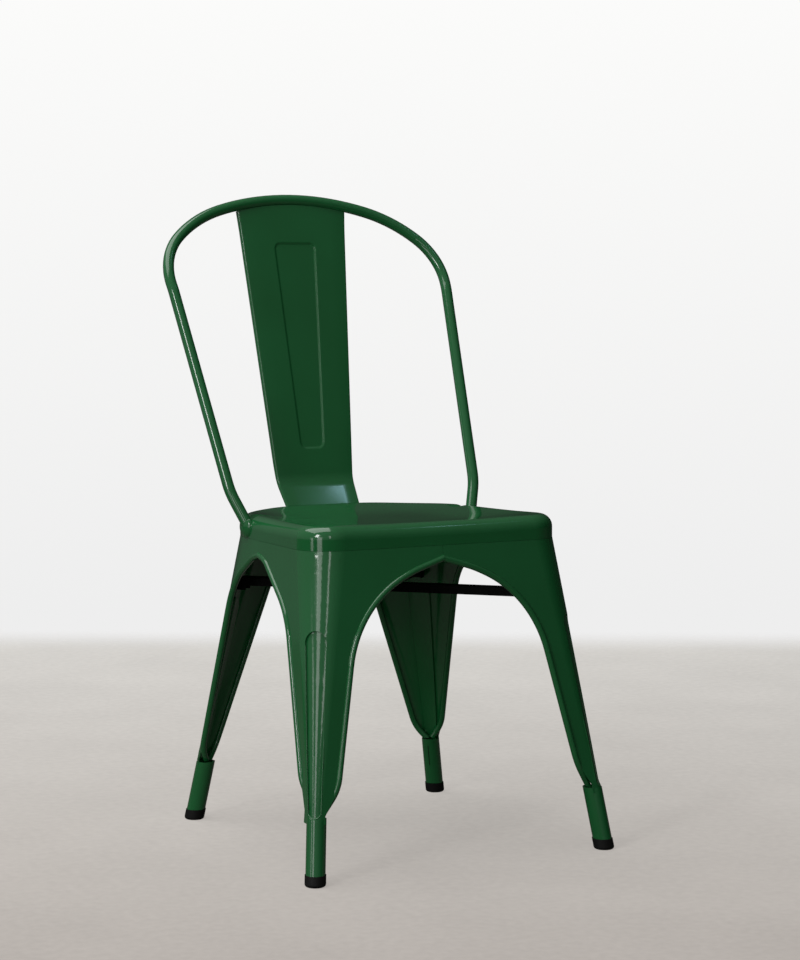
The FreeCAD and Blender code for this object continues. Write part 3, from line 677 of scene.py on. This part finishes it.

# %% [markdown]
# The paper is matt and has a soft wear of wide clouds and fine grain. Painted light makes
# it a little paler in the distance and darker near the camera. Fully lit, it would show
# darker shadows than the photograph has. So about two thirds of what the camera sees of
# it is its plain colour, and only the rest is lit. The light that it throws back on the
# chair comes from a darker grey, because most of a real studio floor lies outside the lamps.

# %% Floor paper
# Painted light: the floor runs from a darker colour near the camera to a paler one at the back.
FLOOR_NEAR_PAINTED_SHADE = "#BDB6B0"
FLOOR_FAR_PAINTED_LIGHT = "#E7E4DF"
BOUNCE = "#6E6B66"
EVEN_SHARE = 0.65
CLOUD_WIDTH = 0.22
GRAIN_WIDTH = 0.012
FADE = 0.30
PAINTED_LIGHT_FROM = -0.8
PAINTED_LIGHT_TO = 1.5
WEAR_LOW = 0.94
WEAR_HIGH = 1.06

floor_finish = new_material("matt_studio_paper")
tree = floor_finish.node_tree
place = add_node(tree, "ShaderNodeTexCoord").outputs["Object"]
depth = add_node(tree, "ShaderNodeVectorMath", {"operation": "DOT_PRODUCT"}, {0: place, 1: level_ahead})
fade = add_node(tree, "ShaderNodeMapRange", {"interpolation_type": "SMOOTHSTEP"}, {
    "Value": depth.outputs["Value"], "From Min": FLOOR_FAR - FADE, "From Max": FLOOR_FAR})
# Painted light: how far back a point lies sets how pale the paper is painted.
distance = add_node(tree, "ShaderNodeMapRange", inputs={
    "Value": depth.outputs["Value"], "From Min": PAINTED_LIGHT_FROM, "From Max": PAINTED_LIGHT_TO})
paper = add_node(tree, "ShaderNodeMix", {"data_type": "RGBA"}, {
    "Factor": distance.outputs["Result"], "A": linear(FLOOR_NEAR_PAINTED_SHADE), "B": linear(FLOOR_FAR_PAINTED_LIGHT)})
path = add_node(tree, "ShaderNodeLightPath")
shown = add_node(tree, "ShaderNodeMix", {"data_type": "RGBA"}, {
    "Factor": path.outputs["Is Camera Ray"], "A": linear(BOUNCE), "B": paper.outputs[2]})
clouds = add_node(tree, "ShaderNodeTexNoise", inputs={
    "Vector": place, "Scale": 1 / CLOUD_WIDTH, "Detail": 4.0})
grain = add_node(tree, "ShaderNodeTexNoise", inputs={
    "Vector": place, "Scale": 1 / GRAIN_WIDTH, "Detail": 2.0})
wear = add_node(tree, "ShaderNodeMath", {"operation": "ADD"}, {
    0: clouds.outputs["Fac"], 1: grain.outputs["Fac"]})
tone = add_node(tree, "ShaderNodeMapRange", inputs={
    "Value": wear.outputs["Value"], "From Min": 0.6, "From Max": 1.4,
    "To Min": WEAR_LOW, "To Max": WEAR_HIGH})
lit_colour = add_node(tree, "ShaderNodeVectorMath", {"operation": "SCALE"}, {
    0: shown.outputs[2], "Scale": tone.outputs["Result"]})
even_colour = add_node(tree, "ShaderNodeVectorMath", {"operation": "SCALE"}, {
    0: paper.outputs[2], "Scale": tone.outputs["Result"]})
lit = add_node(tree, "ShaderNodeBsdfDiffuse", inputs={"Color": lit_colour.outputs["Vector"]})
even = add_node(tree, "ShaderNodeEmission", inputs={"Color": even_colour.outputs["Vector"]})
share = add_node(tree, "ShaderNodeMath", {"operation": "MULTIPLY"}, {
    0: path.outputs["Is Camera Ray"], 1: EVEN_SHARE})
matt = add_node(tree, "ShaderNodeMixShader", inputs={
    0: share.outputs["Value"], 1: lit.outputs["BSDF"], 2: even.outputs["Emission"]})
clear = add_node(tree, "ShaderNodeBsdfTransparent")
edge = add_node(tree, "ShaderNodeMixShader", inputs={
    0: fade.outputs["Result"], 1: matt.outputs["Shader"], 2: clear.outputs["BSDF"]})
add_node(tree, "ShaderNodeOutputMaterial", inputs={"Surface": edge.outputs["Shader"]})
floor.data.materials.append(floor_finish)
print("floor fades over", FADE, "m")

# %% [markdown]
# Gloss paint is a dark mirror, so what stands round the chair matters as much as the
# lamps. A picture of a real studio could be wrapped round it, but then no part of the
# room could be made brighter by itself. Here the room is bright above and to the left of
# the camera and dim behind and to the right of the chair. The camera sees a pale wall in
# its place, a little brighter towards the top.

# %% Room and wall
WALL_LOW = "#EEEEEE"
WALL_HIGH = "#FBFBFA"
WALL_FROM = -0.14
WALL_TO = 0.1
ROOM_BRIGHT = 0.31
ROOM_DIM = 0.015
ROOM_FROM = -0.55
ROOM_TO = 1.0

world = bpy.data.worlds.new("studio_room")
bpy.context.scene.world = world
world.use_nodes = True
tree = world.node_tree
tree.nodes.clear()
direction = add_node(tree, "ShaderNodeTexCoord").outputs["Generated"]
bright_side = (level_right * -0.6 - level_ahead * 0.45 + Vector((0, 0, 0.75))).normalized()
toward = add_node(tree, "ShaderNodeVectorMath", {"operation": "DOT_PRODUCT"}, {0: direction, 1: bright_side})
level = add_node(tree, "ShaderNodeMapRange", {"interpolation_type": "SMOOTHSTEP"}, {
    "Value": toward.outputs["Value"], "From Min": ROOM_FROM, "From Max": ROOM_TO,
    "To Min": ROOM_DIM, "To Max": ROOM_BRIGHT})
height = add_node(tree, "ShaderNodeSeparateXYZ", inputs={"Vector": direction})
wall_share = add_node(tree, "ShaderNodeMapRange", inputs={
    "Value": height.outputs["Z"], "From Min": WALL_FROM, "From Max": WALL_TO})
wall = add_node(tree, "ShaderNodeMix", {"data_type": "RGBA"}, {
    "Factor": wall_share.outputs["Result"], "A": linear(WALL_LOW), "B": linear(WALL_HIGH)})
path = add_node(tree, "ShaderNodeLightPath")
seen = add_node(tree, "ShaderNodeBackground", inputs={"Color": wall.outputs[2], "Strength": 1.0})
room = add_node(tree, "ShaderNodeBackground", inputs={
    "Color": (1, 1, 1, 1), "Strength": level.outputs["Result"]})
choice = add_node(tree, "ShaderNodeMixShader", inputs={
    0: path.outputs["Is Camera Ray"], 1: room.outputs["Background"], 2: seen.outputs["Background"]})
add_node(tree, "ShaderNodeOutputWorld", inputs={"Surface": choice.outputs["Shader"]})
print("room", ROOM_DIM, "to", ROOM_BRIGHT)

# %% [markdown]
# Gloss paint also shows its lamps, so each soft box stands where a highlight of the
# photograph needs it. They could be moved about until it looks right. It is quicker to
# mirror the camera's line of sight at the metal, because it then points to the lamp.
# Four upright boxes stand three metres off. The high one draws the line down the hoop's
# left tube, the tall one the lines on the front leg, the thin one catches edges that
# face the camera and the low one lights the foot. A wide box overhead lights the floor
# and gives the soft shadows beside the feet.

# %% Lamps
LAMP_DISTANCE = 3.0
LAMP_AIM = Vector((0, 0, 0.4))
KEY_BOXES = (
    # name, degrees left of the camera, height of its middle, width, height, watts
    ("high_key_box", 36, 1.90, 0.55, 1.10, 25),
    ("tall_key_box", 26, 0.75, 0.75, 1.3, 7.0),
    ("thin_key_box", -5, 1.50, 0.24, 1.2, 2.6),
    ("low_side_box", 50, 0.50, 0.40, 0.8, 2),
)
OVERHEAD_HEIGHT = 2.6
OVERHEAD_SIZE = 2.0
OVERHEAD_POWER = 31


def soft_box(name, place, target, width, height, power):
    data = bpy.data.lights.new(name, "AREA")
    data.shape = "RECTANGLE"
    data.size = width
    data.size_y = height
    data.energy = power
    lamp = bpy.data.objects.new(name, data)
    bpy.context.collection.objects.link(lamp)
    lamp.location = place
    lamp.rotation_euler = (target - place).to_track_quat("-Z", "Y").to_euler()
    return lamp


for name, degrees, middle, width, height, power in KEY_BOXES:
    turn = math.radians(degrees)
    around = level_ahead * -math.cos(turn) - level_right * math.sin(turn)
    soft_box(name, around * LAMP_DISTANCE + Vector((0, 0, middle)), LAMP_AIM, width, height, power)
overhead = level_right * -0.9 - level_ahead * 0.1 + Vector((0, 0, OVERHEAD_HEIGHT))
soft_box("overhead_box", overhead, Vector((0, 0, 0)), OVERHEAD_SIZE, OVERHEAD_SIZE, OVERHEAD_POWER)
print(len(KEY_BOXES) + 1, "soft boxes lit")

# %% [markdown]
# The bent foot of the back panel shows a small, cool patch of light, as from a high
# window. Its place could be found by trial. It is shorter to work it out: the lamp hangs
# where that spot on the metal, used as a mirror, sends the camera's line of sight.

# %% Skylight on the panel's foot
GLINT_SPOT = Vector((0.0480, 0.160, 0.4435))
SKYLIGHT_COLOUR = "#A8D4E6"
SKYLIGHT_DISTANCE = 2.2
SKYLIGHT_WIDTH = 0.06
SKYLIGHT_HEIGHT = 0.08
SKYLIGHT_POWER = 0.17

foot_normal = Vector((0, -1, LOWER_LEAN)).normalized()
to_camera = (CAMERA_PLACE - GLINT_SPOT).normalized()
mirrored = 2 * foot_normal.dot(to_camera) * foot_normal - to_camera
skylight = soft_box("small_skylight", GLINT_SPOT + mirrored * SKYLIGHT_DISTANCE, GLINT_SPOT,
                    SKYLIGHT_WIDTH, SKYLIGHT_HEIGHT, SKYLIGHT_POWER)
skylight.data.color = linear(SKYLIGHT_COLOUR)[:3]
print("skylight at", skylight.location)

# %% [markdown]
# The Standard view shows each colour about as it is written, where a film-like view
# would soften it.

# %% Finish
bpy.context.scene.view_settings.view_transform = "Standard"
